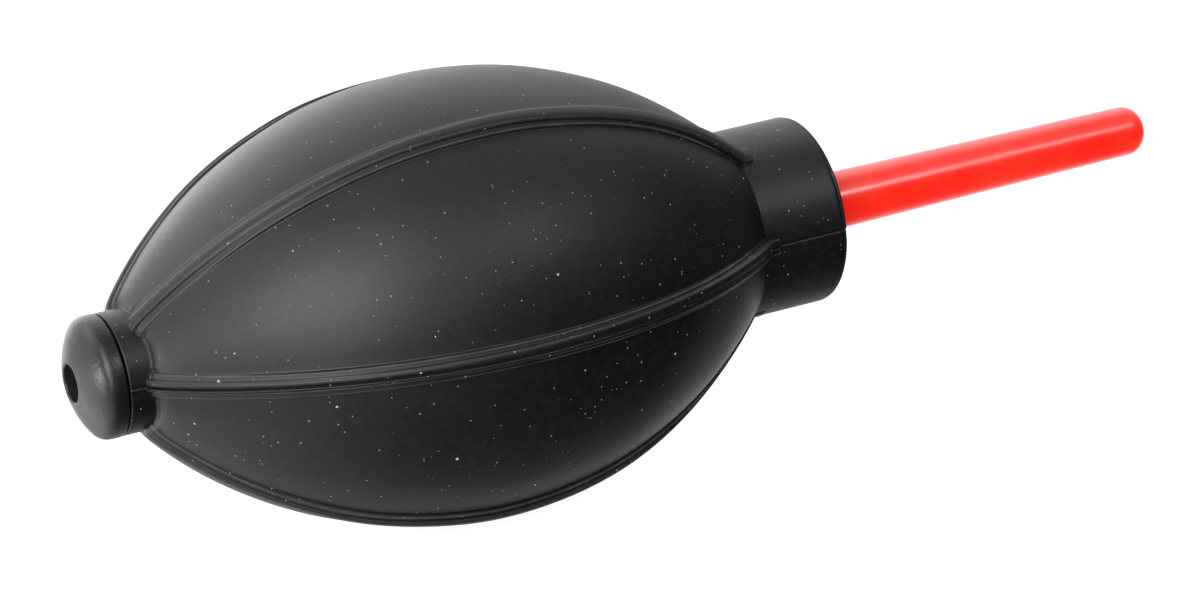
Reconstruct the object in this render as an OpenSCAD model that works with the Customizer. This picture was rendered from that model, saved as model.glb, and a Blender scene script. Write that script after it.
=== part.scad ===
// Dust blower bulb lying on its side: ribbed rubber bulb, nozzle, tail valve.
// Units are millimetres. +X is the way the air leaves, +Z is up, the bulb rests on z = 0.

/* [Bulb] */
// Outside diameter of the belly at its widest, between the ribs
bulb_d = 57; // [54:0.5:60]
// Radius of the one arc that draws the belly's outline
belly_arc_r = 56.6; // [54.6:0.2:58.6]
// Thickness of the rubber wall
wall_t = 2.8; // [2.2:0.1:3.2]

/* [Ribs] */
// Width of a rib's raised crest
rib_w = 2.2; // [1.6:0.1:2.8]
// Width of the low step each crest stands on
rib_foot_w = 3.4; // [3:0.1:4]
// Height of the crest above the belly
rib_h = 1.2; // [0.8:0.1:1.5]
// Height of the low step above the belly
rib_foot_h = 0.5; // [0.3:0.1:0.7]

/* [Collar and neck] */
// Outside diameter of the thick front collar
collar_d = 24.8; // [23:0.2:26]
// From the belly's widest point to the collar's front face
collar_face = 51.7; // [50:0.5:54]
// Outside diameter of the tail neck
neck_d = 15.5; // [15:0.1:15.8]
// From the belly's widest point to the neck's end face
neck_face = 46.4; // [46:0.2:47]

/* [Nozzle] */
// Nozzle diameter where it leaves the collar
nozzle_root_d = 7.7; // [7.1:0.1:8.1]
// Nozzle diameter just behind the rounded tip
nozzle_tip_d = 6.7; // [6:0.1:7]
// Length of nozzle in front of the collar
nozzle_out = 53.1; // [40:0.1:70]
// Bore of the nozzle tube
nozzle_bore_d = 3.6; // [3:0.1:3.8]
// Bore of the jet hole in the tip
jet_d = 1.8; // [1.2:0.1:2.4]

/* [Tail valve] */
// Outside diameter of the domed cap
cap_d = 15.6; // [15.4:0.1:16.2]
// How far the cap stands out from its rim
cap_depth = 4.6; // [4.4:0.1:5]
// How much of that depth the rounded dome takes up
cap_dome_depth = 2.7; // [2.2:0.1:3.2]
// Bore of the air hole in the cap
port_d = 4.8; // [4:0.1:5]
// Diameter over the barbs that hold the barrel in the neck
barrel_d = 10.9; // [10.5:0.1:11]

/* [Squeeze pads] */
// Length of the part of the wall that one finger presses in
pad_len = 52; // [44:1:54]
// Width of that part, which lies between two ribs
pad_w = 21; // [17:0.5:21.5]

/* [Fits] */
// Clearance between parts that move past each other without guiding
body_gap = 0.3; // [0.2:0.05:0.4]
// Radial clearance of a running fit
run_gap = 0.05; // [0.02:0.01:0.09]
// Radial interference of a pressed fit
press = 0.05; // [0.02:0.01:0.08]

/* [Hidden] */
$fn = 96;
eps = 0.01;
belly_r = bulb_d / 2;
// the outline arc's centre lies on the far side of the axis
arc_off = belly_arc_r - belly_r;
// the ribs end on the collar here, and its straight wall starts just ahead of them
rib_front = 41.4;
grip_back = rib_front + 0.1;
collar_r = collar_d / 2;
neck_r = neck_d / 2;
neck_end = -neck_face;
// where the belly ends in a small step down to the neck
crease = -43.3;
// how far the nose dips when the bulb lies balanced on its belly, and the flat it lies on
rest_tilt = 12.6;
rest_flat_t = 0.45;
// cavity ends, where the wall thickens into the neck and the collar
cav_back = -39;
cav_front = 38;
neck_bore_r = barrel_d / 2 + run_gap;
// collar insert, which stops against a lip at the bottom of the collar's bore
collar_bore_r = 7.5;
socket_r = collar_bore_r - run_gap;
lip_front = 39.2;
lip_r = 5.7;
socket_back_face = lip_front + body_gap;
socket_face = collar_face - 0.4;
socket_back = 34.4;
snout_r = 5.4;
nozzle_r = nozzle_root_d / 2;
nozzle_seat_r = nozzle_r + run_gap;
chamber_r = 3.3;
seat_wall = 1.1;
chamber_back = socket_back + seat_wall;
keeper_back = 40.2;
keeper_t = 1;
root_end = keeper_back + keeper_t + body_gap;
nozzle_tip = collar_face + nozzle_out;
tip_r = nozzle_tip_d / 2;
tip_round = 2.6;
seal_z = 45.6;
seal_sec_r = 0.35;
seal_mid_r = nozzle_seat_r - seal_sec_r - 0.02;
// tail cap
cap_r = cap_d / 2;
cap_rim = neck_end - body_gap;
cap_end = cap_rim - cap_depth;
port_r = port_d / 2;
port_flat_r = port_r + 0.3;
filter_r = 4.6;
cap_in_r = cap_r - 1.5;
cap_floor = cap_rim - cap_depth + 1.6;
// barrel
barrel_r = barrel_d / 2;
flange_r = cap_in_r + press;
flange_front = cap_rim - 0.15;
flange_t = 0.6;
flange_back = flange_front - flange_t;
barrel_bore_r = 4;
barrel_front = -36;
in_seat_back = flange_back;
in_seat_t = 1.2;
in_seat_front = in_seat_back + in_seat_t;
in_hole_r = 2.3;
in_disc_r = 3.3;
in_disc_t = 0.8;
in_disc_back = in_seat_front + 0.05;
in_disc_front = in_disc_back + in_disc_t;
stem_r = 0.9;
cage_t = 1.2;
cage_front = barrel_front - 0.4;
cage_back = cage_front - cage_t;
stem_front = cage_front + 0.6;
// outlet valve
out_hole_r = 1.9;
out_disc_r = 2.7;
out_disc_t = 0.7;
out_disc_back = chamber_back + 0.05;
out_disc_front = out_disc_back + out_disc_t;
// middle of the overall length, so that x = 0 is the middle of the object
mid_x = (nozzle_tip + cap_end) / 2;
axis_h = belly_r;
rubber = [0.07, 0.07, 0.075];
plastic = [0.1, 0.1, 0.105];
red = [0.9, 0.08, 0.05];
steel = [0.75, 0.76, 0.78];
foam = [0.3, 0.3, 0.32];
clear_rubber = [0.82, 0.8, 0.76];

// places a shape drawn along +Z on the bulb's lying axis
module lay() {
    translate([-mid_x, 0, axis_h])
    rotate([0, 90, 0])
    children();
}

// solid lemon of the belly between two planes, grown by g
module lemon(g, back, front) {
    rotate_extrude($fn = 144)
    intersection() {
        translate([-arc_off, 0])
        circle(r = belly_arc_r + g, $fn = 240);
        translate([0, back])
        square([belly_r + g + 1, front - back]);
    }
}

// plain tube wall along the axis
module ring(r_out, r_in, back, front) {
    translate([0, 0, back])
    difference() {
        cylinder(r = r_out, h = front - back);
        translate([0, 0, -1])
        cylinder(r = r_in, h = front - back + 2);
    }
}

// six ribs: slabs through the axis, cut to a grown lemon
module ribs(w, h) {
    intersection() {
        lemon(h, -45.8, rib_front);
        for (a = [30, 90, 150])
            rotate([0, 0, a])
            translate([-belly_r - 5, -w / 2, -60])
            cube([bulb_d + 10, w, 120]);
    }
}

// short blocks that end the six crests square on the collar
module rib_stops() {
    intersection() {
        ring(collar_r + 0.8, collar_r - 2, 38.6, rib_front);
        for (a = [30, 90, 150])
            rotate([0, 0, a])
            translate([-belly_r, -rib_w / 2, 30])
            cube([bulb_d, rib_w, 20]);
    }
}

// collar with a small rounded front edge and a slight draft between the rib ends
module collar_solid() {
    edge = 0.6;
    translate([0, 0, 36])
    cylinder(r1 = collar_r - 0.16, r2 = collar_r, h = grip_back - 36 + eps, $fn = 144);
    translate([0, 0, grip_back])
    cylinder(r = collar_r, h = collar_face - grip_back - edge, $fn = 144);
    translate([0, 0, collar_face - edge - eps])
    rotate_extrude($fn = 144)
    union() {
        square([collar_r - edge, edge + eps]);
        intersection() {
            translate([collar_r - edge, eps])
            circle(r = edge, $fn = 48);
            square([collar_r, edge + eps]);
        }
    }
}

module bulb_skin() {
    lemon(0, crease, 41);
    ribs(rib_w, rib_h);
    ribs(rib_foot_w, rib_foot_h);
    rib_stops();
    collar_solid();
    translate([0, 0, neck_end])
    cylinder(r = neck_r, h = neck_face - 38, $fn = 144);
}

module bulb_wall() {
    difference() {
        bulb_skin();
        lemon(-wall_t, cav_back, cav_front);
        translate([0, 0, neck_end - 1])
        cylinder(r = neck_bore_r, h = 12);
        translate([0, 0, cav_front - 4])
        cylinder(r = lip_r, h = 30);
        translate([0, 0, lip_front])
        cylinder(r = collar_bore_r, h = 30);
    }
}

// plan of one squeeze pad, a straight-sided oval
module pad_plan(grow) {
    r = pad_w / 2 + grow;
    half = (pad_len - pad_w) / 2;
    square([2 * half, 2 * r], center = true);
    translate([-half, 0])
    circle(r = r);
    translate([half, 0])
    circle(r = r);
}

// upright prism over the pad's plan; side is 1 for the top and -1 for underneath
module pad_prism(grow, side) {
    translate([-mid_x, 0, axis_h + (side > 0 ? 8 : -belly_r - 6)])
    linear_extrude(height = belly_r - 2)
    pad_plan(grow);
}

module bulb() {
    color(rubber)
    difference() {
        lay()
        bulb_wall();
        pad_prism(body_gap, 1);
        pad_prism(body_gap, -1);
    }
}

module pad(side) {
    intersection() {
        lay()
        difference() {
            lemon(0, -40, 40);
            lemon(-wall_t, -40, 40);
        }
        pad_prism(0, side);
    }
}

module thumb_pad() {
    color(rubber)
    pad(1);
}

// slab that trims the belly flat where the balanced bulb touches the table
module rest_flat() {
    translate([-mid_x, 0, belly_arc_r])
    rotate([0, -rest_tilt, 0])
    translate([-10, -8, -belly_arc_r - 2])
    cube([20, 16, 2 + rest_flat_t]);
}

module finger_pad() {
    color(rubber)
    difference() {
        pad(-1);
        rest_flat();
    }
}

// shallow ramp-shaped barb ring, its widest point towards the front
module barb(r, back, len, rise) {
    rotate_extrude()
    polygon([
        [r - 1, back],
        [r, back],
        [r + rise, back + len * 0.8],
        [r + rise, back + len],
        [r - 1, back + len]
    ]);
}

// insert that fills the collar and takes the nozzle
module nozzle_socket() {
    color(plastic)
    lay()
    difference() {
        union() {
            translate([0, 0, socket_back_face])
            cylinder(r = socket_r, h = socket_face - socket_back_face);
            translate([0, 0, socket_back])
            cylinder(r = snout_r, h = 6);
        }
        translate([0, 0, chamber_back])
        cylinder(r = chamber_r, h = 8);
        translate([0, 0, socket_back - 1])
        cylinder(r = out_hole_r, h = 4);
        translate([0, 0, keeper_back + keeper_t])
        cylinder(r = nozzle_seat_r, h = 20);
        translate([0, 0, socket_face - 0.5])
        cylinder(r1 = nozzle_seat_r, r2 = nozzle_seat_r + 0.6, h = 0.6);
    }
}

module outlet_valve_disc() {
    color(clear_rubber)
    lay() {
        translate([0, 0, out_disc_back])
        cylinder(r = out_disc_r, h = out_disc_t);
        translate([0, 0, out_disc_front - eps])
        cylinder(r = 0.7, h = 1);
    }
}

// three-spoked ring that stops the outlet spring
module outlet_valve_keeper() {
    color(plastic)
    lay() {
        ring(chamber_r + press, 2.5, keeper_back, keeper_back + keeper_t);
        translate([0, 0, keeper_back])
        cylinder(r = 1.1, h = keeper_t);
        for (a = [0, 120, 240])
            rotate([0, 0, a])
            translate([0.8, -0.35, keeper_back])
            cube([2, 0.7, keeper_t]);
    }
}

// round wire wound on a helix, closed at both ends
module coil(mean_r, wire_r, turns, back, len) {
    steps = 18 * turns;
    sides = 8;
    rise = len - 2 * wire_r;
    pts = [
        for (i = [0 : steps])
            let (t = i / steps, a = 360 * turns * t)
            for (j = [0 : sides - 1])
                let (b = 360 * j / sides, r = mean_r + wire_r * cos(b))
                [r * cos(a), r * sin(a), back + wire_r + rise * t + wire_r * sin(b)]
    ];
    walls = [
        for (i = [0 : steps - 1])
            for (j = [0 : sides - 1])
                let (k = (j + 1) % sides, p = i * sides, q = p + sides)
                [p + j, q + j, q + k, p + k]
    ];
    first = [for (j = [0 : sides - 1]) j];
    last = [for (j = [0 : sides - 1]) steps * sides + sides - 1 - j];
    polyhedron(points = pts, faces = concat(walls, [first], [last]), convexity = 8);
}

module outlet_valve_spring() {
    color(steel)
    lay()
    coil(1.6, 0.2, 3, out_disc_front + 0.02, keeper_back - out_disc_front - 0.04);
}

module nozzle_seal() {
    color(rubber)
    lay()
    rotate_extrude()
    translate([seal_mid_r, seal_z])
    circle(r = seal_sec_r, $fn = 32);
}

// half outline of the tip: flat rim round the jet, then a quarter of an ellipse
function tip_outline() = [
    for (i = [0 : 12])
        let (t = 90 - 7.5 * i, a = tip_r - jet_d / 2 - 0.15)
        [jet_d / 2 + 0.15 + a * cos(t), nozzle_tip - tip_round + tip_round * sin(t)]
];

module nozzle() {
    color(red)
    lay()
    difference() {
        union() {
            translate([0, 0, root_end])
            cylinder(r = nozzle_r, h = collar_face - root_end);
            translate([0, 0, collar_face - eps])
            cylinder(r1 = nozzle_r, r2 = tip_r, h = nozzle_out - tip_round + eps);
            rotate_extrude()
            polygon(concat(
                [[0, nozzle_tip]],
                tip_outline(),
                [[0, nozzle_tip - tip_round]]
            ));
        }
        translate([0, 0, root_end - 1])
        cylinder(d = nozzle_bore_d, h = nozzle_tip - root_end - 4);
        translate([0, 0, nozzle_tip - 8])
        cylinder(d = jet_d, h = 10);
        ring(nozzle_r + 1, seal_mid_r - seal_sec_r - 0.04, seal_z - 0.5, seal_z + 0.5);
    }
}

// half outline of the cap's dome, from the flat round the air hole to the straight side
function dome_outline() = [
    for (i = [0 : 18])
        let (q = sin(5 * i))
        [
            port_flat_r + (cap_r - port_flat_r) * q,
            cap_end + cap_dome_depth * (1 - pow(1 - pow(q, 1.2), 1 / 1.38))
        ]
];

module intake_cap() {
    color(plastic)
    lay()
    difference() {
        rotate_extrude($fn = 144)
        polygon(concat(
            [[0, cap_end]],
            dome_outline(),
            [[cap_r, cap_rim], [0, cap_rim]]
        ));
        translate([0, 0, flange_back - 0.05])
        cylinder(r = cap_in_r, h = 10);
        translate([0, 0, cap_floor])
        cylinder(r = filter_r + 0.1, h = 10);
        translate([0, 0, cap_end - 1])
        cylinder(r = port_r, h = 6);
    }
}

module filter_disc() {
    color(foam)
    lay()
    translate([0, 0, cap_floor + 0.02])
    cylinder(r = filter_r, h = 0.6);
}

module filter_ring() {
    color(plastic)
    lay()
    ring(filter_r + 0.1 + press, 3.5, cap_floor + 0.66, flange_back - 0.1);
}

module valve_barrel() {
    color(plastic)
    lay()
    difference() {
        union() {
            translate([0, 0, flange_back])
            cylinder(r = flange_r, h = flange_t);
            translate([0, 0, flange_back])
            cylinder(r = barrel_r - 0.4, h = barrel_front - flange_back);
            barb(barrel_r - 0.4, -46, 2, 0.4);
            barb(barrel_r - 0.4, -43, 2, 0.4);
        }
        translate([0, 0, in_seat_front])
        cylinder(r = barrel_bore_r, h = 20);
        translate([0, 0, in_seat_back - 1])
        cylinder(r = in_hole_r, h = 4);
    }
}

module intake_valve_disc() {
    color(clear_rubber)
    lay() {
        translate([0, 0, in_disc_back])
        cylinder(r = in_disc_r, h = in_disc_t);
        translate([0, 0, in_disc_front - eps])
        cylinder(r = stem_r, h = stem_front - in_disc_front + eps);
    }
}

module intake_valve_spring() {
    color(steel)
    lay()
    coil(1.9, 0.22, 5, in_disc_front + 0.02, cage_back - in_disc_front - 0.04);
}

// perforated disc that guides the stem and stops the intake spring
module valve_cage() {
    color(plastic)
    lay()
    difference() {
        translate([0, 0, cage_back])
        cylinder(r = barrel_bore_r + press, h = cage_t);
        translate([0, 0, cage_back - 1])
        cylinder(r = stem_r + run_gap, h = 4);
        for (a = [0 : 60 : 300])
            rotate([0, 0, a])
            translate([2.9, 0, cage_back - 1])
            cylinder(r = 0.7, h = 4);
    }
}

bulb();
thumb_pad();
finger_pad();
nozzle_socket();
outlet_valve_disc();
outlet_valve_spring();
outlet_valve_keeper();
nozzle_seal();
nozzle();
intake_cap();
filter_disc();
filter_ring();
valve_barrel();
intake_valve_disc();
intake_valve_spring();
valve_cage();
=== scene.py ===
import math

import bpy
import numpy as np
from mathutils import Matrix, Vector


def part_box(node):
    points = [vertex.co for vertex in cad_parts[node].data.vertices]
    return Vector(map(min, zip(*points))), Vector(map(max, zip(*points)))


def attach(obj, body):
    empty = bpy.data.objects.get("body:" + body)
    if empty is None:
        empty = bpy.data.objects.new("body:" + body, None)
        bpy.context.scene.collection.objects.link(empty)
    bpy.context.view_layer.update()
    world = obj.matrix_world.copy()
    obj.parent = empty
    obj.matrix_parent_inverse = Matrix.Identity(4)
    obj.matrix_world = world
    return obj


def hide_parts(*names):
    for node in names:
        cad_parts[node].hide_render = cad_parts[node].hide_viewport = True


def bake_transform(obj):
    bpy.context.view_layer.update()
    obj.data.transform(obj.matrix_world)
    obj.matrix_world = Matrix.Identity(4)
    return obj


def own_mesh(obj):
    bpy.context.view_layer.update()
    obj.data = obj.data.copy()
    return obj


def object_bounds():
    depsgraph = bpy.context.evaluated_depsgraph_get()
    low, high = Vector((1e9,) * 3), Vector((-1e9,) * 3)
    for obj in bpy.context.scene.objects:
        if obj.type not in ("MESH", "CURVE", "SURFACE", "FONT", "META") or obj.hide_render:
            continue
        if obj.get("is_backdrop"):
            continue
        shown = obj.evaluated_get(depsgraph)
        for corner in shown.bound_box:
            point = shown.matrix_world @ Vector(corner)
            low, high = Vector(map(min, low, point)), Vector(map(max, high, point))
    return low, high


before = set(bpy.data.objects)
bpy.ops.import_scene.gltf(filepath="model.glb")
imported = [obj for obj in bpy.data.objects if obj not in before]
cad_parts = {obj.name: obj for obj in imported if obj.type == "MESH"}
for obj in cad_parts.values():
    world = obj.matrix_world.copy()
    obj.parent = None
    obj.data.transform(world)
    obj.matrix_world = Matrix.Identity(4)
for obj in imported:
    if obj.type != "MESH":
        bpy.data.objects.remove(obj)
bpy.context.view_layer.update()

scene = bpy.context.scene
MM = 0.001

# The bulb's axis and the belly's widest point, from the tail cap's box.
CAP_END = -51.3  # from the belly's widest point, mm
cap_low, cap_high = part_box("intake_cap")
BELLY_X = cap_low.x - CAP_END * MM
AXIS_Y = (cap_low.y + cap_high.y) / 2
AXIS_Z = (cap_low.z + cap_high.z) / 2


# ---------------------------------------------------------------- mesh tools

def place(u, r, angle):
    """Frame points at u mm along the axis and r mm from it. The angle runs from the top to the front."""
    u, r, angle = np.broadcast_arrays(u, r, angle)
    return np.stack([
        BELLY_X + u * MM,
        AXIS_Y - r * np.sin(angle) * MM,
        AXIS_Z + r * np.cos(angle) * MM,
    ], axis=-1)


def new_object(name, points, faces, smooth=True):
    mesh = bpy.data.meshes.new(name)
    mesh.from_pydata([tuple(p) for p in points], [], faces)
    mesh.validate()
    mesh.update()
    if smooth:
        mesh.polygons.foreach_set("use_smooth", [True] * len(mesh.polygons))
    obj = bpy.data.objects.new(name, mesh)
    scene.collection.objects.link(obj)
    return obj


def grid_faces(rows, cols, wrap_rows, wrap_cols):
    faces = []
    for i in range(rows if wrap_rows else rows - 1):
        k = (i + 1) % rows
        for j in range(cols if wrap_cols else cols - 1):
            m = (j + 1) % cols
            faces.append((i * cols + j, k * cols + j, k * cols + m, i * cols + m))
    return faces


def fillet(corners, steps=5):
    """Rounds the corners of a closed outline. Each corner is (u, r, its own radius)."""
    out = []
    n = len(corners)
    for i, (u, r, rad) in enumerate(corners):
        p = np.array([u, r], float)
        a = np.array(corners[i - 1][:2], float) - p
        b = np.array(corners[(i + 1) % n][:2], float) - p
        if rad <= 0:
            out.append(tuple(p))
            continue
        la, lb = np.linalg.norm(a), np.linalg.norm(b)
        a, b = a / la, b / lb
        half = math.acos(max(-1, min(1, float(a @ b)))) / 2
        if half > math.pi / 2 - 0.02:
            out.append(tuple(p))
            continue
        reach = min(rad / math.tan(half), 0.48 * la, 0.48 * lb)
        rad = reach * math.tan(half)
        mid = (a + b) / np.linalg.norm(a + b)
        centre = p + mid * rad / math.sin(half)
        s, e = p + a * reach - centre, p + b * reach - centre
        t0 = math.atan2(s[1], s[0])
        turn = math.atan2(s[0] * e[1] - s[1] * e[0], float(s @ e))
        for k in range(steps + 1):
            t = t0 + turn * k / steps
            out.append((centre[0] + rad * math.cos(t), centre[1] + rad * math.sin(t)))
    return out


def lathe(name, outline, sides=128):
    """Turns a closed (u, r) outline round the axis. Points on the axis become one point."""
    angles = np.linspace(0, 2 * math.pi, sides, endpoint=False)
    points, rings = [], []
    for u, r in outline:
        if r < 1e-6:
            rings.append([len(points)] * sides)
            points.append(place(u, 0.0, 0.0))
        else:
            rings.append(list(range(len(points), len(points) + sides)))
            points += list(place(u, r, angles))
    faces = []
    for i, ring in enumerate(rings):
        after = rings[(i + 1) % len(rings)]
        for j in range(sides):
            m = (j + 1) % sides
            face = []
            for v in (ring[j], after[j], after[m], ring[m]):
                if v not in face:
                    face.append(v)
            if len(face) > 2:
                faces.append(face)
    return new_object(name, points, faces)


def tag(obj, name, values, kind="FLOAT"):
    attribute = obj.data.attributes.new(name, kind, "POINT")
    key = "vector" if kind == "FLOAT_VECTOR" else "value"
    attribute.data.foreach_set(key, np.asarray(values, np.float32).ravel())


def rest_place(obj):
    """Keeps each point's place at rest, so that the grain stays put on rubber that bends."""
    co = np.zeros(len(obj.data.vertices) * 3, np.float32)
    obj.data.vertices.foreach_get("co", co)
    tag(obj, "rest_place", co, "FLOAT_VECTOR")


# ---------------------------------------------------------------- materials

class Graph:
    """Short names for building a node material."""

    def __init__(self, name):
        self.material = bpy.data.materials.new(name)
        self.material.use_nodes = True
        self.tree = self.material.node_tree
        self.shader = self.tree.nodes["Principled BSDF"]

    def node(self, kind, **settings):
        n = self.tree.nodes.new(kind)
        for key, value in settings.items():
            setattr(n, key, value)
        return n

    def join(self, source, target):
        self.tree.links.new(source, target)

    def where(self, attribute=None):
        if attribute:
            return self.node("ShaderNodeAttribute", attribute_name=attribute).outputs["Vector"]
        return self.node("ShaderNodeTexCoord").outputs["Object"]

    def noise(self, place, scale, detail=3.0, rough=0.5):
        n = self.node("ShaderNodeTexNoise")
        self.join(place, n.inputs["Vector"])
        n.inputs["Scale"].default_value = scale
        n.inputs["Detail"].default_value = detail
        n.inputs["Roughness"].default_value = rough
        return n.outputs["Fac"]

    def cells(self, place, scale, feature="F1"):
        n = self.node("ShaderNodeTexVoronoi", feature=feature)
        self.join(place, n.inputs["Vector"])
        n.inputs["Scale"].default_value = scale
        return n

    def span(self, source, low, high, to_low=0.0, to_high=1.0):
        n = self.node("ShaderNodeMapRange", clamp=True)
        self.join(source, n.inputs["Value"])
        n.inputs["From Min"].default_value = low
        n.inputs["From Max"].default_value = high
        n.inputs["To Min"].default_value = to_low
        n.inputs["To Max"].default_value = to_high
        return n.outputs["Result"]

    def sum(self, a, b, operation="ADD"):
        n = self.node("ShaderNodeMath", operation=operation)
        for i, v in enumerate((a, b)):
            if isinstance(v, (int, float)):
                n.inputs[i].default_value = v
            else:
                self.join(v, n.inputs[i])
        return n.outputs[0]

    def blend(self, share, a, b):
        n = self.node("ShaderNodeMix", data_type="RGBA")
        for socket, v in ((n.inputs["Factor"], share), (n.inputs[6], a), (n.inputs[7], b)):
            if isinstance(v, tuple):
                socket.default_value = (*v, 1.0)
            elif isinstance(v, (int, float)):
                socket.default_value = v
            else:
                self.join(v, socket)
        return n.outputs[2]

    def bump(self, heights):
        """heights is a list of (height, depth in metres); each layer adds to the one before."""
        normal = None
        for height, depth in heights:
            n = self.node("ShaderNodeBump")
            n.inputs["Strength"].default_value = 1.0
            n.inputs["Distance"].default_value = depth
            self.join(height, n.inputs["Height"])
            if normal is not None:
                self.join(normal, n.inputs["Normal"])
            normal = n.outputs["Normal"]
        self.join(normal, self.shader.inputs["Normal"])

    def specks(self, place, scale, size, share):
        """Sparse round specks: cells whose own number is above share, near their middle."""
        cell = self.cells(place, scale)
        part = self.node("ShaderNodeSeparateColor")
        self.join(cell.outputs["Color"], part.inputs["Color"])
        chosen = self.sum(part.outputs[0], share, "GREATER_THAN")
        size_here = self.span(part.outputs[1], 0, 1, size * 0.35, size)
        near = self.sum(cell.outputs["Distance"], size_here, "LESS_THAN")
        return self.sum(chosen, near, "MULTIPLY")

    def set(self, **values):
        for key, value in values.items():
            self.shader.inputs[key.replace("_", " ")].default_value = value


def rubber_material():
    g = Graph("black_rubber")
    at = g.where("rest_place")
    cloud = g.noise(at, 45, 4)
    fine = g.noise(at, 900, 3, 0.6)
    base = g.blend(g.span(cloud, 0.35, 0.7), (0.0016, 0.0015, 0.0020), (0.0032, 0.0030, 0.0036))
    base = g.blend(g.span(fine, 0.45, 0.75, 0, 0.35), base, (0.010, 0.010, 0.011))
    # rib edges, crest ends, the crease at the neck and the collar's front edge are painted lighter grey:
    # partly painted highlight along the edges, partly wear and dust
    edge = g.node("ShaderNodeAttribute", attribute_name="edge").outputs["Fac"]
    edge_highlight_and_wear = g.sum(edge, g.span(g.noise(at, 260, 2), 0.3, 0.75, 0.35, 1.0), "MULTIPLY")
    base = g.blend(g.sum(edge_highlight_and_wear, 0.5, "MULTIPLY"), base, (0.11, 0.11, 0.115))
    drift = g.span(g.noise(at, 38, 2), 0.42, 0.62)
    drifted = g.sum(g.specks(at, 640, 0.09, 0.84), drift, "MULTIPLY")
    dust = g.sum(g.specks(at, 420, 0.085, 0.83), drifted, "MAXIMUM")
    grit = g.specks(at, 1300, 0.18, 0.78)
    lint = g.sum(g.sum(dust, 0.8, "MULTIPLY"), g.sum(grit, 0.34, "MULTIPLY"), "MAXIMUM")
    base = g.blend(lint, base, (0.42, 0.42, 0.41))
    g.join(base, g.shader.inputs["Base Color"])
    rough = g.sum(g.span(cloud, 0.3, 0.7, 0.40, 0.46), g.sum(lint, 0.3, "MULTIPLY"), "ADD")
    g.join(rough, g.shader.inputs["Roughness"])
    g.set(Specular_IOR_Level=0.5)
    g.bump([
        (g.noise(at, 110, 2), 0.00006),
        (g.noise(at, 3600, 2, 0.7), 0.000022),
        (g.noise(at, 7000, 1, 0.5), 0.000012),
    ])
    return g.material


def plastic_material(name, dark, light, rough, grain, speck=0.0):
    """Satin moulded plastic with a fine eroded texture."""
    g = Graph(name)
    at = g.where()
    cloud = g.noise(at, 160, 4)
    base = g.blend(g.span(cloud, 0.35, 0.7), dark, light)
    if speck:
        spots = g.sum(g.specks(at, 700, 0.1, 0.93), speck, "MULTIPLY")
        base = g.blend(spots, base, (0.45, 0.45, 0.44))
    g.join(base, g.shader.inputs["Base Color"])
    patchy = g.span(g.noise(at, 420, 3), 0.3, 0.7, rough - 0.05, rough + 0.06)
    g.join(patchy, g.shader.inputs["Roughness"])
    g.bump([
        (g.noise(at, 240, 2), 0.00003 * grain),
        (g.noise(at, 2200, 2, 0.6), 0.00002 * grain),
        (g.cells(at, 1700).outputs["Distance"], 0.000014 * grain),
    ])
    return g


def silicone_material():
    g = Graph("valve_rubber")
    at = g.where()
    base = g.blend(g.span(g.noise(at, 300, 3), 0.35, 0.7), (0.62, 0.60, 0.55), (0.74, 0.72, 0.68))
    g.join(base, g.shader.inputs["Base Color"])
    g.join(g.span(g.noise(at, 700, 2), 0.3, 0.7, 0.34, 0.46), g.shader.inputs["Roughness"])
    g.set(Subsurface_Weight=0.35, Subsurface_Scale=0.0006)
    g.shader.inputs["Subsurface Radius"].default_value = (1.0, 0.85, 0.6)
    g.bump([(g.noise(at, 1800, 2), 0.00001)])
    return g.material


def foam_material():
    g = Graph("filter_foam")
    at = g.where()
    pores = g.cells(at, 2100)
    # the pores are painted darker than the foam between them: painted shade in the pores
    depth = g.span(pores.outputs["Distance"], 0.1, 0.6)
    base = g.blend(depth, (0.035, 0.03, 0.026), (0.16, 0.14, 0.12))
    g.join(base, g.shader.inputs["Base Color"])
    g.join(g.span(g.noise(at, 900, 3), 0.3, 0.7, 0.85, 1.0), g.shader.inputs["Roughness"])
    g.bump([(pores.outputs["Distance"], 0.00012)])
    return g.material


def steel_material():
    g = Graph("spring_steel")
    at = g.where()
    base = g.blend(g.span(g.noise(at, 1200, 3), 0.3, 0.7), (0.50, 0.51, 0.53), (0.66, 0.67, 0.69))
    g.join(base, g.shader.inputs["Base Color"])
    g.join(g.span(g.noise(at, 2600, 2), 0.3, 0.7, 0.22, 0.36), g.shader.inputs["Roughness"])
    g.set(Metallic=1.0)
    g.bump([(g.noise(at, 3000, 2), 0.000006)])
    return g.material


RUBBER = rubber_material()
CAP = plastic_material("cap_plastic", (0.004, 0.004, 0.005), (0.008, 0.008, 0.0095), 0.34, 1.2, 0.55)
CAP.set(Specular_IOR_Level=0.5)
BLACK = plastic_material("black_plastic", (0.018, 0.018, 0.019), (0.03, 0.03, 0.031), 0.42, 0.8)
RED = plastic_material("red_plastic", (0.97, 0.016, 0.006), (1.0, 0.030, 0.012), 0.21, 0.4)
RED.set(Subsurface_Weight=1.0, Subsurface_Scale=0.005, Specular_IOR_Level=1.0,
        Sheen_Weight=0.9, Sheen_Roughness=0.3)
RED.shader.inputs["Sheen Tint"].default_value = (1.0, 0.75, 0.72, 1)
RED.shader.inputs["Subsurface Radius"].default_value = (1.0, 0.2, 0.1)
SILICONE = silicone_material()
FOAM = foam_material()
STEEL = steel_material()


def finish_piece(obj, material, slot, *nodes):
    obj.data.materials.clear()
    obj.data.materials.append(material)
    if nodes:
        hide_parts(*nodes)
    return obj


# ---------------------------------------------------------------- rubber bulb

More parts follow.
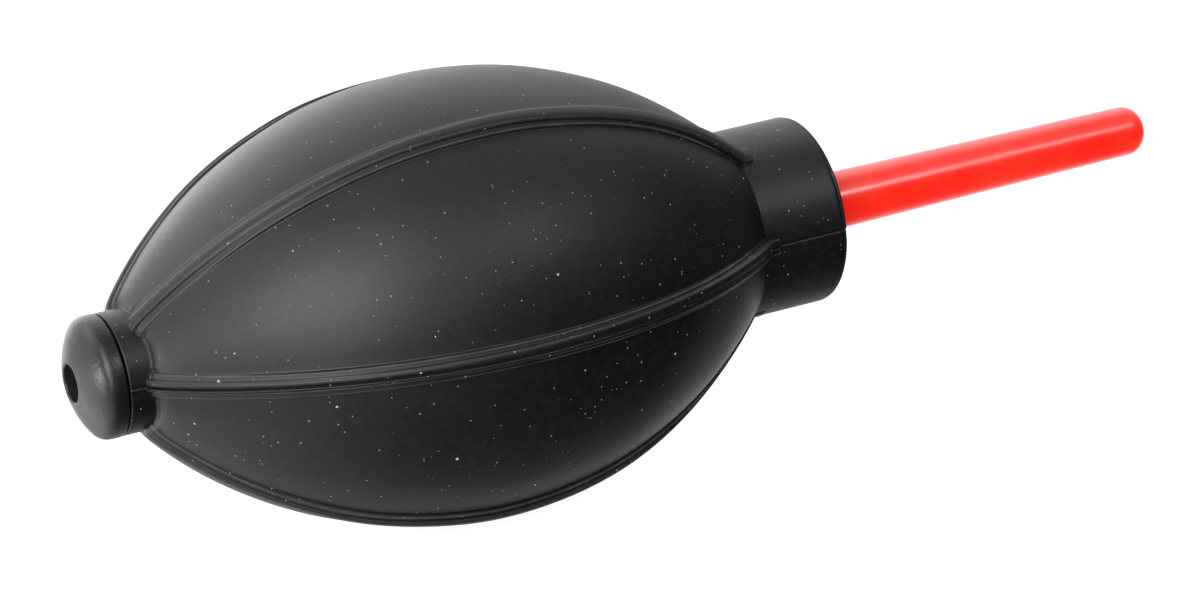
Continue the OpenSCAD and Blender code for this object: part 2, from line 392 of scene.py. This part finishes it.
ARC_R = 56.6      # radius of the belly's outline
ARC_OFF = 28.1    # its centre lies this far past the axis
NECK_R, NECK_END = 7.75, -46.4
CREASE = -43.0    # the panels end here in a small rounded step down to the neck
RIB_CREASE = -44.1
COLLAR_R, COLLAR_FACE = 12.4, 51.7
BORE_R, LIP_R, LIP_FRONT = 7.5, 5.7, 39.2
NECK_BORE_R = 5.5
CAV_R, CAV_BACK, CAV_FRONT = 53.8, -39.0, 38.0
STOP_R, STOP_END = 13.1, 41.4  # the ribs end this high on the collar, and here
FOOT_H = 0.5
STRIP_HALF = 1.98  # half the width of the strip of columns that follows a rib


def ease(x, a, b):
    t = np.clip((x - a) / (b - a), 0, 1)
    return t * t * (3 - 2 * t)


def crest_half(u):
    """Half the width of a rib's crest, mm."""
    return 0.80 + 0.30 * ease(u, -30, 30)


def foot_high(u):
    """Height of a rib's wider foot over the panels, mm."""
    return FOOT_H * (0.5 + 0.5 * ease(u, -42, -22)) * (1 - 0.75 * ease(u, 26, 39))


def crest_high(u):
    """Height of a rib's crest over the panels, mm."""
    return 0.72 + 0.48 * ease(u, -42, 4)


# Half of a rib's section: (place across, height). Across: share of the crest's
# half width plus mm, or mm alone on the foot. Height: shares of crest and foot, plus mm.
HALF_SECTION = [
    # crest share, mm across, crest height share, foot height share, mm high, edge tint (painted highlight
    # and wear)
    (0.00, 0.00, 1, 0, 0.00, 0.0),
    (0.35, 0.00, 1, 0, -0.01, 0.0),
    (0.70, 0.00, 1, 0, -0.05, 0.0),
    (1.00, -0.20, 1, 0, -0.09, 0.1),
    (1.00, -0.10, 1, 0, -0.14, 0.4),
    (1.00, -0.03, 1, 0, -0.22, 0.5),
    (1.00, 0.02, 0, 1, 0.16, 0.0),
    (1.00, 0.06, 0, 1, 0.05, 0.0),
    (1.00, 0.13, 0, 1, 0.01, 0.0),
    (0.00, 1.50, 0, 1, 0.00, 0.1),
    (0.00, 1.58, 0, 1, -0.02, 0.7),
    (0.00, 1.65, 0, 1, -0.07, 1.0),
    (0.00, 1.69, 0, 1, -0.16, 0.5),
    (0.00, 1.72, 0, 0, 0.16, 0.0),
    (0.00, 1.76, 0, 0, 0.06, 0.0),
    (0.00, 1.84, 0, 0, 0.01, 0.0),
    (0.00, STRIP_HALF, 0, 0, 0.00, 0.0),
]
PANEL_COLUMNS = 22
STOP_DROP = {150: 0.5, 210: 0.5}  # how much lower those ribs end on the collar
RIB_SHIFT = {-30: -3.2}  # the rib behind the top one lies a little further round

# The two mould halves meet in a fine groove: (mm across, mm high) of its columns, by mould half.
GROOVE = {
    1: [(0.0, -0.22), (0.10, -0.10), (0.20, -0.02)],
    -1: [(0.0, -0.52), (0.22, -0.42), (0.34, -0.26)],
}
LOWER_CREST_DROP = 0.22  # the lower mould half's share of a split crest sits this much lower
SPLIT_FOOT_IN = 0.16     # and the foot of a split rib is this much narrower on each side


def rib_column(side, parting, at, share, mm, hc, hf, dh, tint):
    return {"side": side, "part": parting, "at": at, "share": share, "mm": mm,
            "hc": hc, "hf": hf, "dh": dh, "tint": tint}


def rib_columns(side, parting, at):
    """Columns of one rib half. side is -1 or 1; parting is 1 or -1 along a mould half's edge, else 0."""
    out = [rib_column(side, parting, at, *row) for row in HALF_SECTION]
    if parting:
        first = [rib_column(side, parting, at, 0.0, mm, 1, 0, dh, 0.0) for mm, dh in GROOVE[parting]]
        for c in out:
            if c["share"] == 0 and c["mm"] > 1:
                c["mm"] -= SPLIT_FOOT_IN
        if parting < 0:
            for c in out[1:6]:
                c["dh"] -= LOWER_CREST_DROP
        out = first + out[1:]
    if side < 0:
        out.reverse()
    return out


def rib_at(degrees):
    return math.radians(degrees + RIB_SHIFT.get(degrees, 0.0))


def half_columns(start_rib):
    """All columns of one mould half, as (kind, rib angle, column), from one parting line to the other."""
    part = 1 if start_rib < 0 else -1
    cols = []
    for k in range(4):
        at = start_rib + 60 * k
        rib = rib_at(at)
        if k > 0:
            cols += [("rib", rib, c) for c in rib_columns(-1, part if k == 3 else 0, at)]
            if k < 3:
                cols.pop()  # the middle column comes with the other side
        if k < 3:
            cols += [("rib", rib, c) for c in rib_columns(1, part if k == 0 else 0, at)]
            gap = rib_at(at + 60) - rib
            cols += [("panel", rib, (f / PANEL_COLUMNS, gap)) for f in range(1, PANEL_COLUMNS)]
    return cols


def column_angle(kind, rib, c, u, r):
    """Angle of a column where the surface is r mm from the axis."""
    if kind == "rib":
        across = c["side"] * (c["share"] * crest_half(u) + c["mm"])
        return rib + np.arcsin(np.clip(across / r, -0.9, 0.9))
    edge = np.arcsin(np.clip(STRIP_HALF / r, -0.9, 0.9))
    share, to_next_rib = c
    return rib + edge + share * (to_next_rib - 2 * edge)


def rise(kind, c, u):
    """How far a column stands above the plain belly at u."""
    if kind == "panel":
        return np.zeros_like(np.asarray(u, float))
    crest = crest_high(u)
    if c["at"] in STOP_DROP:
        crest = crest * (1 - 0.55 * ease(u, 14, 38))
    return np.maximum(c["hc"] * crest + c["hf"] * foot_high(u) + c["dh"], 0.0)


def belly_r(u, h):
    """Radius of the belly where it stands h mm above its plain outline."""
    return np.sqrt((ARC_R + h) ** 2 - u * u) - ARC_OFF


def meets(radius, h_of):
    """Where a column's outline meets a plain cylinder of that radius, at the collar's end."""
    u = 41.0
    for _ in range(12):
        u = math.sqrt((ARC_R + float(h_of(u))) ** 2 - (radius + ARC_OFF) ** 2)
    return u


NECK_ROWS = np.array([0.0, 0.10, 0.3, 0.55, 0.78, 0.92, 0.975])
BELLY_ROWS = 78
COLLAR_ROWS = np.array([0.02, 0.06, 0.14, 0.3, 0.5, 0.7, 0.86, 0.96, 1.0])
BELLY_FIRST = [0.10, 0.20, 0.36, 0.64, 1.1]  # the belly's first rows are close together, mm from the crease
NECK_STEP_IN = 0.34  # how far the belly still stands over the neck where its rounded step starts
FRONT_EDGE = 0.46    # radius of the collar's front edge
FRONT_EDGE_IN = 0.07  # and how far it lies inside the collar's round wall


def neck_path(crease):
    """Rounded end of the neck, its plain wall, and the foot of the step up to the belly."""
    path = [(NECK_END, NECK_R - 0.16, 0.0), (NECK_END + 0.02, NECK_R - 0.08, 0.3),
            (NECK_END + 0.08, NECK_R - 0.02, 0.2), (NECK_END + 0.16, NECK_R, 0.0)]
    first = NECK_END + 0.16
    path += [(first + t * (crease - 0.3 - first), NECK_R, 0.0) for t in NECK_ROWS[1:]]
    return path + [(crease - 0.14, NECK_R + 0.02, 0.0), (crease - 0.05, NECK_R + 0.08, 0.1),
                   (crease, NECK_R + 0.17, 0.3), (crease + 0.03, NECK_R + 0.27, 0.5)]


def belly_path(crease, end, h_of, tint):
    """Down the belly from the crease to the collar. It leaves the neck in a rounded step."""
    us = [crease + t for t in BELLY_FIRST]
    t = np.linspace(0, 1, BELLY_ROWS + 1)[1:]
    us += list(us[-1] + t * (end - us[-1]))
    step = max(0.0, float(belly_r(crease, h_of(crease))) - NECK_R - NECK_STEP_IN)
    path = []
    for i, u in enumerate(us):
        short = min(1.0, max(0.0, 1 - (u - crease) / BELLY_FIRST[-1]))
        r = float(belly_r(u, h_of(u))) - step * (1 - math.sqrt(1 - short ** 2))
        # the first row, at the crease, gets an edge tint: a painted highlight line along the crease
        path.append((u, max(r, NECK_R + 0.02), max(tint, 0.35 if i == 0 else 0.0)))
    return path


def collar_path(last):
    """The collar's wall from u = last, a fine line round it, and its rounded front edge."""
    step = COLLAR_FACE - 0.66
    path = [(last + t * (step - last), COLLAR_R, 0.0) for t in COLLAR_ROWS]
    # the fine line and the rounded front edge carry an edge tint: painted highlight and wear
    path += [(step + 0.03, COLLAR_R - 0.05, 0.2), (step + 0.07, COLLAR_R - 0.09, 0.0),
             (step + 0.12, COLLAR_R - FRONT_EDGE_IN, 0.0)]
    for t in (0, 18, 36, 54, 72, 90):
        a = math.radians(t)
        r = COLLAR_R - FRONT_EDGE_IN - FRONT_EDGE + FRONT_EDGE * math.cos(a)
        path.append((COLLAR_FACE - FRONT_EDGE + FRONT_EDGE * math.sin(a), r, 0.12))
    return path


def outer_path(kind, c, drop):
    """(u, r, edge tint) down one column, from the neck's end to the collar's face."""
    h_of = lambda u: rise(kind, c, u)
    tint = c["tint"] if kind == "rib" else 0.0
    height = float(h_of(-40.0))
    crease = CREASE + (RIB_CREASE - CREASE) * min(1.0, height / 0.5)
    if kind == "panel":
        crease -= 0.35 * (2 * c[0] - 1) ** 4
    # the crest ends square on the collar; every other column just meets it
    crest = kind == "rib" and c["hc"] > 0 and c["dh"] > -0.6
    if crest:
        top = STOP_R + c["dh"] * 0.8 - STOP_DROP.get(c.get("at"), 0.0)
        end = meets(top, h_of)
        last = STOP_END + 0.08
        # the crest's square end carries an edge tint: painted highlight and wear
        stop = [(STOP_END - 0.10, top, tint), (STOP_END - 0.03, top - 0.03, max(tint, 0.5)),
                (STOP_END, top - 0.10, 0.4), (STOP_END + 0.02, COLLAR_R + 0.05, 0.0),
                (last, COLLAR_R, 0.0)]
    else:
        meet = meets(COLLAR_R, h_of)
        end = meet - 0.12
        last = meet + 0.12
        stop = [(u, float(belly_r(u, h_of(meet))), 0.0) for u in (meet - 0.06, meet - 0.02)]
        stop += [(meet, COLLAR_R + 0.01, 0.0), (meet + 0.04, COLLAR_R, 0.0), (last, COLLAR_R, 0.0)]
    path = neck_path(crease) + belly_path(crease, end, h_of, tint) + stop + collar_path(last)
    return [(u, r - (drop if (u < crease or u > last) else 0.0), e) for u, r, e in path]


def inner_path():
    """(u, r) from the collar's face through the bore and the cavity to the neck's end."""
    path = [(COLLAR_FACE, 9.6), (COLLAR_FACE, 7.9), (COLLAR_FACE - 0.05, 7.68), (COLLAR_FACE - 0.2, 7.54)]
    path += [(u, BORE_R) for u in (51.2, 48.0, 44.0, 40.5, 39.4)]
    path += [(LIP_FRONT, BORE_R - 0.1), (LIP_FRONT, 6.3), (39.1, LIP_R + 0.04), (38.9, LIP_R)]
    path += [(38.25, LIP_R), (38.05, LIP_R + 0.1), (CAV_FRONT, LIP_R + 0.35), (CAV_FRONT, 8.0)]
    us = np.linspace(CAV_FRONT, CAV_BACK, 46)
    path += [(u, math.sqrt(CAV_R ** 2 - u * u) - ARC_OFF) for u in us]
    path += [(CAV_BACK, 7.4), (CAV_BACK, 5.9), (-39.05, 5.62)]
    path += [(u, NECK_BORE_R) for u in (-39.2, -41.0, -43.5, -45.4)]
    return path + [(-46.2, 5.52), (-46.35, 5.62), (NECK_END, 5.9), (NECK_END, 6.9)]


LOWER_EDGE_DROP = 0.13  # the lower mould half's collar and neck sit this much low at the parting line
LOWER_GROOVE = 0.13, 0.05, 0.0  # and dip this much more in its last columns
UPPER_GROOVE = 0.18, 0.05       # the upper half's dip
INSIDE_R = 16.0  # the inside wall's columns keep the angle they have this far from the axis
SWAY = 0.035     # hand-made unevenness of a soft moulding, mm


def parting_drop(c, lower, from_end):
    """How far the collar and the neck drop next to the parting line, mm."""
    if lower:
        near = float(1 - ease(c["mm"] + c["share"], 0.6, 2.0))
        return LOWER_EDGE_DROP * near + LOWER_GROOVE[min(from_end, 2)]
    return UPPER_GROOVE[from_end] if from_end < 2 else 0.0


def rubber_half(name, start_rib):
    """One mould half of the bulb, as a closed shell, from parting line to parting line."""
    cols = half_columns(start_rib)
    inner = inner_path()
    columns = []
    for n, (kind, rib, c) in enumerate(cols):
        from_end = min(n, len(cols) - 1 - n)
        at_parting = kind == "rib" and c["part"]
        drop = parting_drop(c, start_rib > 0, from_end) if at_parting else 0.0
        col = [(u, r, float(column_angle(kind, rib, c, u, r)), e) for u, r, e in outer_path(kind, c, drop)]
        inside_angle = float(column_angle(kind, rib, c, 0.0, INSIDE_R))
        col += [(u, r, inside_angle, 0.0) for u, r in inner]
        columns.append(col)
    rows, count = len(columns[0]), len(columns)
    data = np.array(columns)  # column, row, (u, r, angle, tint)
    # the end columns lie exactly in the parting plane
    data[0, :, 2] = math.radians(start_rib)
    data[-1, :, 2] = math.radians(start_rib + 180)
    # the outside sways a little, but not next to the parting line, the neck or the collar
    u, r, a = data[..., 0], data[..., 1], data[..., 2]
    n_outer = rows - len(inner)
    sway = SWAY * np.sin(0.21 * u + 3 * a + 0.7) * np.sin(0.13 * u - 2 * a)
    sway -= 0.02 * (1 + np.sin(0.4 * u + 5 * a))
    off_parting = ease(np.abs(np.sin(a - math.radians(start_rib))), 0.0, 0.12)
    calm = np.minimum(off_parting, ease(40 - np.abs(u), 0, 6))
    r = r + np.where(np.arange(rows)[None, :] < n_outer, sway * calm, 0.0)
    xyz = place(u, r, a)
    faces = grid_faces(count, rows, False, True)
    faces.append(tuple(range(rows)))
    faces.append(tuple((count - 1) * rows + i for i in reversed(range(rows))))
    obj = new_object(name, xyz.reshape(-1, 3), faces)
    for flat in obj.data.polygons[-2:]:
        flat.use_smooth = False
    tag(obj, "edge", data[..., 3].reshape(-1))
    rest_place(obj)
    return obj


upper = rubber_half("bulb_upper_half", -90)
lower = rubber_half("bulb_lower_half", 90)
finish_piece(upper, RUBBER, "black_rubber", "bulb", "thumb_pad")
finish_piece(lower, RUBBER, "black_rubber", "finger_pad")
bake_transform(upper)
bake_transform(lower)


# ---------------------------------------------------------------- nozzle

ROOT_R, TIP_R, TIP, ROOT_BACK = 3.85, 3.35, 104.8, 41.5
TIP_ROUND, NOZZLE_BORE, JET_R, JET_BACK = 2.6, 1.8, 0.9, 99.8
SEAL_U, SEAL_R, SEAL_WIRE = 45.6, 3.53, 0.34  # seal ring: its place, middle radius and section radius
GROOVE_HALF, GROOVE_R, GROOVE_EDGE = 0.35, 3.18, 0.03  # its groove: half width, radius and broken edge


def nozzle_outline():
    out = [(ROOT_BACK, NOZZLE_BORE + 0.15), (ROOT_BACK, ROOT_R - 0.45), (ROOT_BACK + 0.1, ROOT_R - 0.2)]
    out.append((ROOT_BACK + 0.35, ROOT_R))
    # groove of the seal ring, with its edges just broken
    for side in (-1, 1):
        wall = SEAL_U + side * GROOVE_HALF
        edge = [(wall + side * GROOVE_EDGE, ROOT_R), (wall, ROOT_R - GROOVE_EDGE), (wall, GROOVE_R)]
        out += edge if side < 0 else edge[::-1]
    # slow taper to a rounded tip
    shoulder = TIP - TIP_ROUND
    for t in np.linspace(0, 1, 40):
        out.append((COLLAR_FACE + t * (shoulder - COLLAR_FACE), ROOT_R + t * (TIP_R - ROOT_R)))
    rim = JET_R + 0.15
    for t in np.linspace(90, 0, 19)[1:]:
        a = math.radians(t)
        out.append((shoulder + TIP_ROUND * math.cos(a), rim + (TIP_R - rim) * math.sin(a)))
    # jet hole and bore
    out += [(TIP - 0.02, JET_R + 0.06), (TIP - 0.1, JET_R), (TIP - 1.5, JET_R), (JET_BACK, JET_R)]
    out.append((JET_BACK - 0.3, NOZZLE_BORE))
    out += [(u, NOZZLE_BORE) for u in np.linspace(95, ROOT_BACK + 0.3, 12)]
    return out


nozzle = lathe("nozzle_tube", nozzle_outline(), 96)
finish_piece(nozzle, RED.material, "red_plastic", "nozzle")
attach(nozzle, "nozzle")

seal_turn = np.linspace(0, 2 * math.pi, 24, endpoint=False)
seal_outline = [(SEAL_U + SEAL_WIRE * math.sin(t), SEAL_R + SEAL_WIRE * math.cos(t)) for t in seal_turn]
seal = lathe("nozzle_seal_ring", seal_outline, 72)
tag(seal, "edge", np.zeros(len(seal.data.vertices)))
rest_place(seal)
finish_piece(seal, RUBBER, "black_rubber", "nozzle_seal")
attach(seal, "nozzle")


# ---------------------------------------------------------------- tail cap and valve unit

CAP_R, CAP_RIM, DOME_DEPTH, PORT_R = 7.8, -46.7, 2.7, 2.4
CAP_FLOOR, CAP_BORE_R = -49.7, 6.3
CAP_POWERS = 1.2, 1.38  # how full the dome's outline is
DOME_POINTS, DOME_PASSES = 64, 46  # and how finely and how much it is smoothed
FILTER_SEAT_R = 4.7


def soften(outline, reach, passes):
    """Rounds an open outline by pulling each point between its ends some way towards its neighbours."""
    pts = np.array(outline)
    for _ in range(passes):
        pts[1:-1] += ((pts[:-2] + pts[2:]) / 2 - pts[1:-1]) * reach
    return [tuple(p) for p in pts]


def even(outline, count):
    """The same outline with count points an equal way apart."""
    pts = np.array(outline)
    along = np.concatenate([[0], np.cumsum(np.linalg.norm(np.diff(pts, axis=0), axis=1))])
    t = np.linspace(0, along[-1], count)
    return [(np.interp(x, along, pts[:, 0]), np.interp(x, along, pts[:, 1])) for x in t]


def cap_outline():
    flat = PORT_R + 0.3
    out = [(CAP_END + 0.30, PORT_R), (CAP_END + 0.13, PORT_R + 0.02), (CAP_END + 0.045, PORT_R + 0.08)]
    out.append((CAP_END + 0.008, PORT_R + 0.18))
    dome = []
    for t in np.linspace(0, math.pi / 2, 90):
        q = math.sin(t)
        rise_here = DOME_DEPTH * (1 - max(0.0, 1 - q ** CAP_POWERS[0]) ** (1 / CAP_POWERS[1]))
        dome.append((CAP_END + rise_here, flat + (CAP_R - flat) * q))
    dome = even(dome + [(CAP_RIM - 0.7, CAP_R)], DOME_POINTS)
    out += soften(dome, 0.5, DOME_PASSES)
    out += [(CAP_RIM - 0.14, CAP_R), (CAP_RIM - 0.04, CAP_R - 0.03), (CAP_RIM, CAP_R - 0.12)]
    # bore for the barrel's flange, bore for the filter, floor and back of the port
    out += [(CAP_RIM, 6.6), (CAP_RIM - 0.08, 6.33), (CAP_RIM - 0.3, CAP_BORE_R)]
    out += [(-47.45, CAP_BORE_R), (-47.5, 6.2), (-47.5, 4.9), (-47.6, FILTER_SEAT_R)]
    out += [(CAP_FLOOR + 0.15, FILTER_SEAT_R), (CAP_FLOOR, 4.55), (CAP_FLOOR, 3.4)]
    return out + [(CAP_FLOOR, PORT_R + 0.12), (CAP_FLOOR - 0.1, PORT_R)]


cap = lathe("intake_cap_shell", cap_outline(), 144)
finish_piece(cap, CAP.material, "black_plastic", "intake_cap")
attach(cap, "valve_unit")


def ends(node):
    """Where a CAD node starts and ends along the axis, mm from the belly's widest point."""
    low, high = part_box(node)
    return (low.x - BELLY_X) / MM, (high.x - BELLY_X) / MM


def disc_filter():
    """Open foam disc behind the air hole, with a bumpy face."""
    low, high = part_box("filter_disc")
    back, front = ends("filter_disc")
    radius = (high.z - low.z) / 2 / MM
    outline = [(back, r) for r in np.linspace(0, radius - 0.12, 26)]
    outline += [(back + 0.1, radius), (front - 0.1, radius)]
    outline += [(front, r) for r in np.linspace(radius - 0.12, 0, 8)]
    foam = lathe("filter_foam_disc", outline, 96)
    co = np.zeros(len(foam.data.vertices) * 3)
    foam.data.vertices.foreach_get("co", co)
    co = co.reshape(-1, 3)
    y, z = (co[:, 1] - AXIS_Y) / MM, (co[:, 2] - AXIS_Z) / MM
    dent = 0.05 * (1 + np.sin(5.1 * y + 1.3 * z) * np.sin(4.3 * z - 2.2 * y + 1)) / 2
    on_face = co[:, 0] < low.x + 0.02 * MM
    co[on_face, 0] += dent[on_face] * MM
    foam.data.vertices.foreach_set("co", co.ravel())
    return foam


foam = disc_filter()
finish_piece(foam, FOAM, "filter_foam", "filter_disc")
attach(foam, "valve_unit")


def flap_outline(node, radius, thick, stem_r):
    """Mushroom-shaped valve disc with a rounded lip and a stem, as long as its CAD node."""
    back, front = ends(node)
    corners = [
        (back, 0.0, 0), (back, radius, 0.18), (back + thick, radius, 0.22), (back + thick, stem_r, 0.3),
        (front, stem_r, 0.25), (front, 0.0, 0),
    ]
    return fillet(corners, 5)


outlet_flap = lathe("outlet_valve_flap", flap_outline("outlet_valve_disc", 2.7, 0.7, 0.7), 72)
finish_piece(outlet_flap, SILICONE, "valve_rubber", "outlet_valve_disc")
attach(outlet_flap, "outlet_flap")
intake_flap = lathe("intake_valve_flap", flap_outline("intake_valve_disc", 3.3, 0.8, 0.9), 72)
finish_piece(intake_flap, SILICONE, "valve_rubber", "intake_valve_disc")
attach(intake_flap, "intake_flap")


def coil(name, node, mean_r, wire_r, turns):
    """Closed-end round wire on a helix, as long as its CAD node."""
    back, front = ends(node)
    steps, sides = int(64 * turns), 14
    t = np.linspace(0, 1, steps + 1)
    angle = 2 * math.pi * turns * t
    around = np.linspace(0, 2 * math.pi, sides, endpoint=False)
    r = mean_r + wire_r * np.cos(around)[None, :]
    u = (back + wire_r + (front - back - 2 * wire_r) * t)[:, None] + wire_r * np.sin(around)[None, :]
    xyz = place(u, r, angle[:, None])
    faces = grid_faces(steps + 1, sides, False, True)
    faces.append(tuple(range(sides)))
    faces.append(tuple(steps * sides + i for i in reversed(range(sides))))
    return new_object(name, xyz.reshape(-1, 3), faces)


for name, node, body, joint, wire_r, turns, travel in (
    ("outlet_valve_coil", "outlet_valve_spring", "nozzle_unit", "outlet_valve_open", 0.2, 3, 1.0),
    ("intake_valve_coil", "intake_valve_spring", "valve_unit", "intake_valve_open", 0.22, 5, 1.2),
):
    low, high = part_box(node)
    mean_r = (high.z - low.z) / 2 / MM - wire_r
    spring = coil(name, node, mean_r, wire_r, turns)
    finish_piece(spring, STEEL, "spring_steel", node)
    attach(spring, body)
    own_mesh(spring)

for node in ("nozzle_socket", "outlet_valve_keeper", "filter_ring", "valve_barrel", "valve_cage"):
    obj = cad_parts[node]
    obj.data.materials.clear()
    obj.data.materials.append(BLACK.material)
    obj.data.set_sharp_from_angle(angle=math.radians(32))
    obj.data.polygons.foreach_set("use_smooth", [True] * len(obj.data.polygons))


# ---------------------------------------------------------------- floor, light and camera

def floor():
    half = 1.6
    points = [(-half, -half, 0), (half, -half, 0), (half, half, 0), (-half, half, 0)]
    obj = new_object("floor", points, [(0, 1, 2, 3)], smooth=False)
    g = Graph("floor_white")
    at = g.where()
    base = g.blend(g.span(g.noise(at, 6, 2), 0.3, 0.7), (0.30, 0.30, 0.30), (0.32, 0.32, 0.32))
    g.join(base, g.shader.inputs["Base Color"])
    g.set(Roughness=0.9, Specular_IOR_Level=0.1, Emission_Strength=0.93)
    g.shader.inputs["Emission Color"].default_value = (1, 1, 1, 1)
    obj.data.materials.append(g.material)
    obj.visible_glossy = False
    obj.visible_shadow = False
    obj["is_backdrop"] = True


floor()


GLOW_TIGHTNESS = 13.0


def studio_world():
    """Soft light all round from fixed directions. The camera itself sees plain white behind the floor."""
    world = bpy.data.worlds.new("studio")
    scene.world = world
    world.use_nodes = True
    tree = world.node_tree
    nodes, links = tree.nodes, tree.links
    nodes.clear()
    out = nodes.new("ShaderNodeOutputWorld")
    coord = nodes.new("ShaderNodeTexCoord").outputs["Generated"]

    def math_node(op, a, b=None):
        n = nodes.new("ShaderNodeMath")
        n.operation = op
        for i, v in enumerate((a, b)):
            if v is None:
                continue
            if isinstance(v, (int, float)):
                n.inputs[i].default_value = v
            else:
                links.new(v, n.inputs[i])
        return n.outputs[0]

    def glow(azimuth, elevation, strength, tightness=GLOW_TIGHTNESS):
        a, e = math.radians(azimuth), math.radians(elevation)
        axis = (math.sin(a) * math.cos(e), -math.cos(a) * math.cos(e), math.sin(e))
        dot = nodes.new("ShaderNodeVectorMath")
        dot.operation = "DOT_PRODUCT"
        links.new(coord, dot.inputs[0])
        dot.inputs[1].default_value = axis
        away = math_node("SUBTRACT", dot.outputs["Value"], 1.0)
        falloff = math_node("EXPONENT", math_node("MULTIPLY", away, tightness))
        return math_node("MULTIPLY", falloff, strength)

    total = 0.0
    for args in GLOWS:
        total = math_node("ADD", glow(*args), total)
    lit = nodes.new("ShaderNodeBackground")
    links.new(total, lit.inputs["Strength"])
    lit.inputs["Color"].default_value = (0.98, 0.965, 1.01, 1)
    seen = nodes.new("ShaderNodeBackground")
    seen.inputs["Color"].default_value = (1, 1, 1, 1)
    seen.inputs["Strength"].default_value = 1.0
    path = nodes.new("ShaderNodeLightPath")
    mix = nodes.new("ShaderNodeMixShader")
    links.new(path.outputs["Is Camera Ray"], mix.inputs["Fac"])
    links.new(lit.outputs[0], mix.inputs[1])
    links.new(seen.outputs[0], mix.inputs[2])
    links.new(mix.outputs[0], out.inputs["Surface"])


# Azimuth (0 is the front, 90 the nozzle's side), elevation and strength of each light, and its
# tightness where that differs. Most rows come from another program's least-squares fit to the
# photograph's tones and were then rounded; a few strengths were changed by trial afterwards.
GLOWS = [
    # in front, mostly on the tail's side
    (-40, 20, 4.9), (-50, 40, 2.2), (-25, 40, 1.3), (50, 40, 0.5),
    # tight lamps added by trial, for the streak along the nozzle and the spark on the cap
    (30, 34, 9.0, 160), (-92, -1, 20.0, 120),
    # behind and overhead
    (180, 0, 1.6), (180, 20, 1.5), (160, 20, 0.6), (-130, 40, 3.0), (130, 40, 1.3),
    (180, 62, 1.5), (60, 62, 0.2),
    # from low down and below, strongest behind the tail
    (-130, -20, 2.7), (-110, 0, 0.8), (-60, -45, 1.1), (-100, -45, 0.8), (-140, -45, 0.6),
    (180, -70, 0.5), (180, -20, 0.4), (155, -20, 0.7), (130, -20, 0.6), (140, -45, 0.2),
]
studio_world()


# the photograph's camera, found by fitting the object's outline
LENS = 132.67
CAMERA_AT = Vector((-0.240898, -0.49153, 0.196657))
CAMERA_FORWARD = Vector((0.41160, 0.85943, -0.30327))
CAMERA_UP = Vector((0.21633, 0.23112, 0.94857))


def camera():
    """Looks down on the bulb from the front, from the tail's side."""
    data = bpy.data.cameras.new("camera")
    obj = bpy.data.objects.new("camera", data)
    scene.collection.objects.link(obj)
    data.sensor_width = 36.0
    data.lens = LENS
    data.clip_start, data.clip_end = 0.01, 20
    right = CAMERA_FORWARD.cross(CAMERA_UP)
    turn = Matrix((right, CAMERA_UP, -CAMERA_FORWARD)).transposed().to_4x4()
    obj.matrix_world = Matrix.Translation(CAMERA_AT) @ turn
    scene.camera = obj


camera()
scene.view_settings.view_transform = "Standard"
scene.view_settings.look = "None"

low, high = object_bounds()
